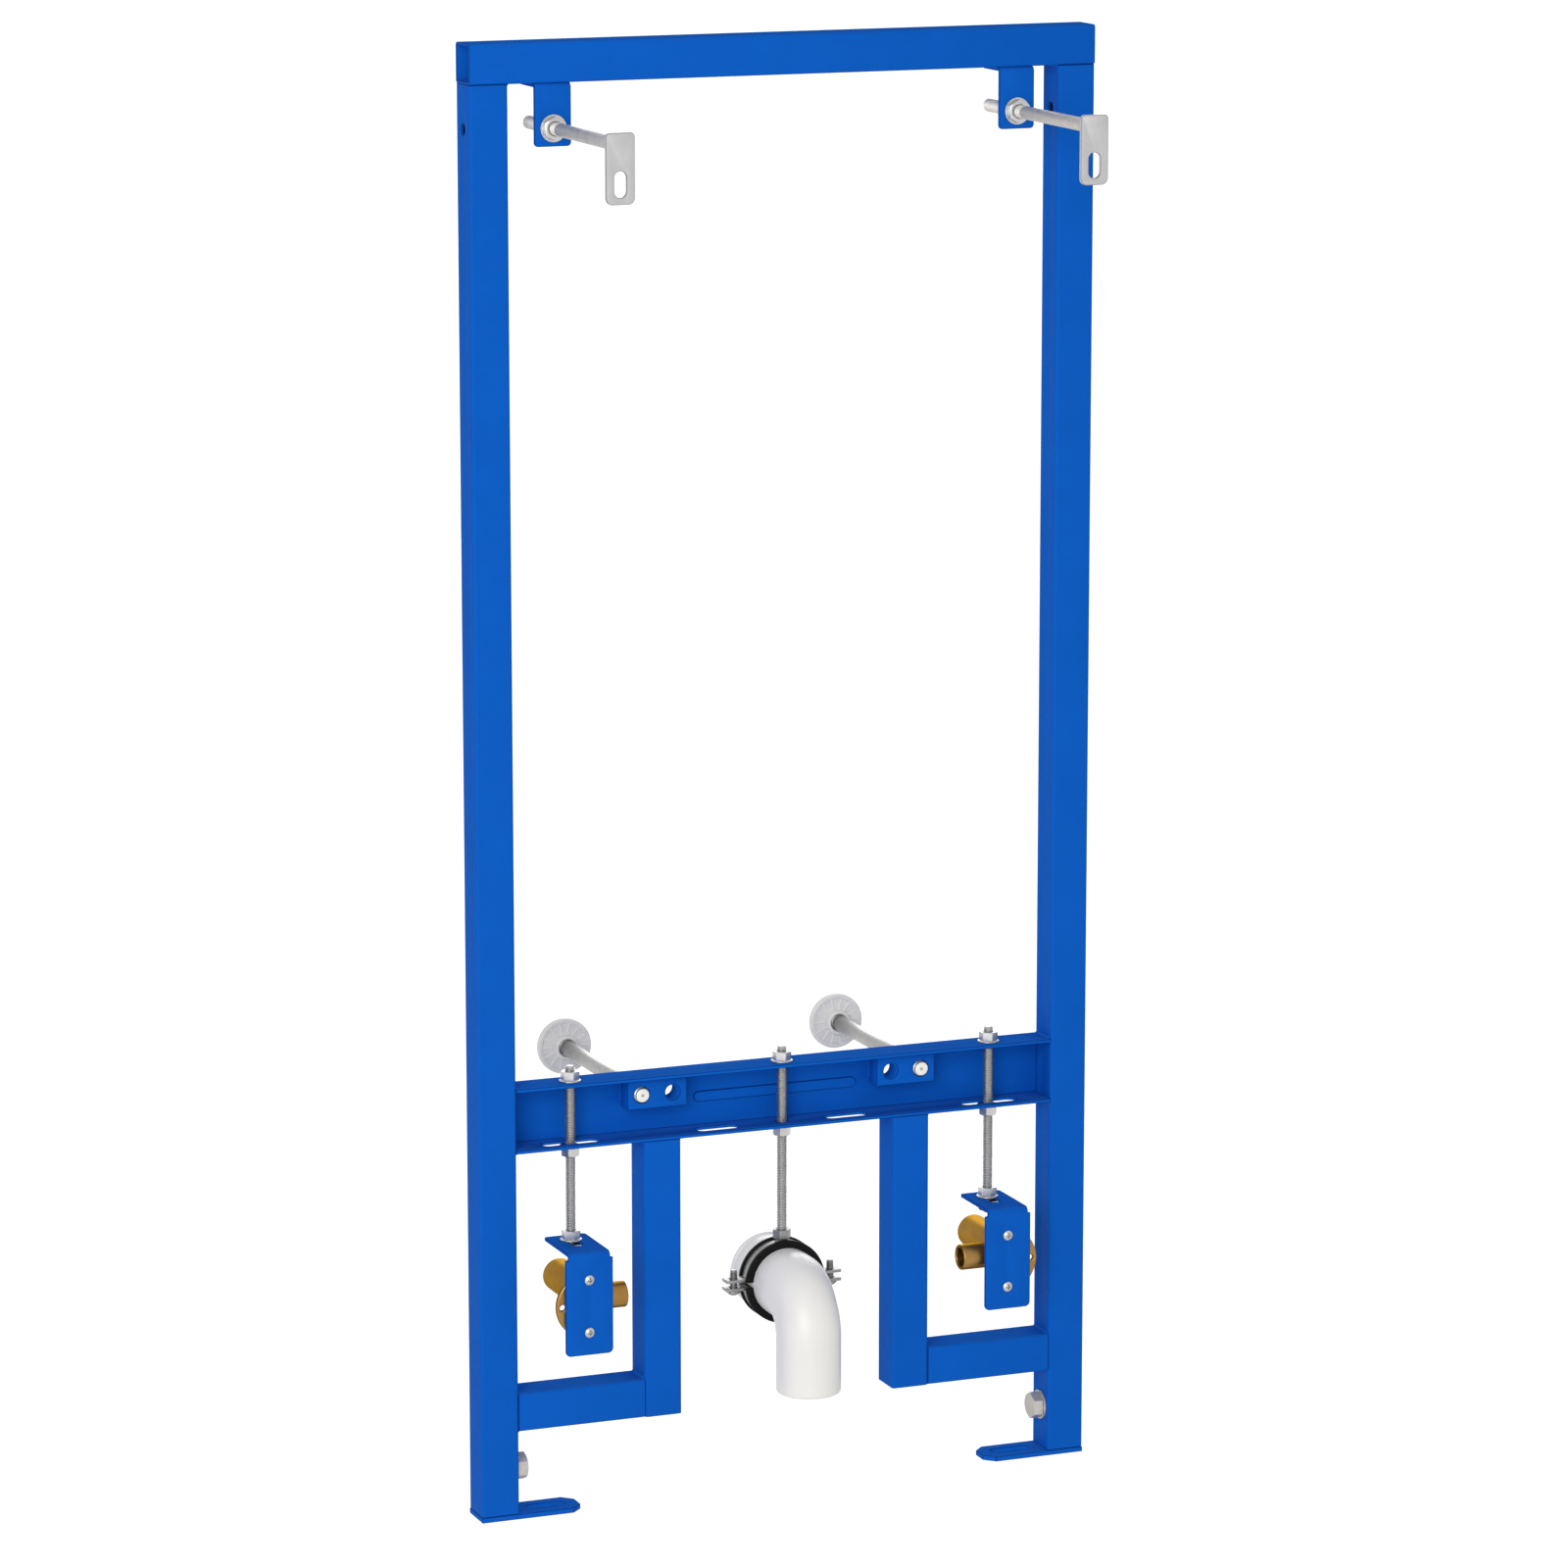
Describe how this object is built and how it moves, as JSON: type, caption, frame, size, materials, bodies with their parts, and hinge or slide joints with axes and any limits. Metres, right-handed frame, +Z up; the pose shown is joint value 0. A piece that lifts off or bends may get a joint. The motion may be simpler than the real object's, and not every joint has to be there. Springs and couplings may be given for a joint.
{
  "type": "wall-hung bidet installation frame",
  "caption": "Steel installation frame for a wall-hung bidet, with wall ties, sliding feet, bidet studs, hung water elbows and a clamped drain elbow.",
  "frame": {"origin": "on the wall face of the left wall plate, where its rod's axis meets the wall", "axes": "+X to the right as the bidet side sees it, +Y towards the wall behind the frame, +Z up"},
  "size_m": [0.5, 0.3505, 1.12],
  "materials": {
    "blue_paint": "smooth satin blue powder coat",
    "zinc_steel": "bright zinc-plated steel",
    "brass": "raw yellow brass",
    "drain_plastic": "light grey polypropylene",
    "rosette_plastic": "moulded light grey plastic",
    "black_rubber": "smooth black rubber"
  },
  "bodies": {
    "frame": {"top_rail": "blue_paint", "cross_channel": "blue_paint", "left_post": "blue_paint", "left_inner_leg": "blue_paint", "left_lower_rail": "blue_paint", "left_stud_bar": "blue_paint", "left_wall_tab": "blue_paint", "left_elbow_bracket": "blue_paint", "left_foot_bolt": "zinc_steel", "left_stud": "zinc_steel", "left_stud_nuts": "zinc_steel", "left_wall_rod": "zinc_steel", "left_wall_nuts": "zinc_steel", "left_wall_plate": "zinc_steel", "left_hanger_rod": "zinc_steel", "left_hanger_nuts": "zinc_steel", "left_elbow_screws": "zinc_steel", "left_rosette": "rosette_plastic", "left_brass_elbow": "brass", "right_post": "blue_paint", "right_inner_leg": "blue_paint", "right_lower_rail": "blue_paint", "right_stud_bar": "blue_paint", "right_wall_tab": "blue_paint", "right_elbow_bracket": "blue_paint", "right_foot_bolt": "zinc_steel", "right_stud": "zinc_steel", "right_stud_nuts": "zinc_steel", "right_wall_rod": "zinc_steel", "right_wall_nuts": "zinc_steel", "right_wall_plate": "zinc_steel", "right_hanger_rod": "zinc_steel", "right_hanger_nuts": "zinc_steel", "right_elbow_screws": "zinc_steel", "right_rosette": "rosette_plastic", "right_brass_elbow": "brass", "centre_hanger_rod": "zinc_steel", "centre_hanger_nuts": "zinc_steel", "clamp_upper_half": "zinc_steel", "clamp_lower_half": "zinc_steel", "clamp_screws": "zinc_steel", "clamp_rubber": "black_rubber", "drain_elbow": "drain_plastic"},
    "left_foot_leg": {"left_foot": "blue_paint"},
    "right_foot_leg": {"right_foot": "blue_paint"}
  },
  "joints": [
    {"name": "left_foot_slide", "type": "slide", "parent": "frame", "child": "left_foot_leg", "axis": [0, 0, -1], "range_m": [0, 0.2]},
    {"name": "right_foot_slide", "type": "slide", "parent": "frame", "child": "right_foot_leg", "axis": [0, 0, -1], "range_m": [0, 0.2]}
  ]
}
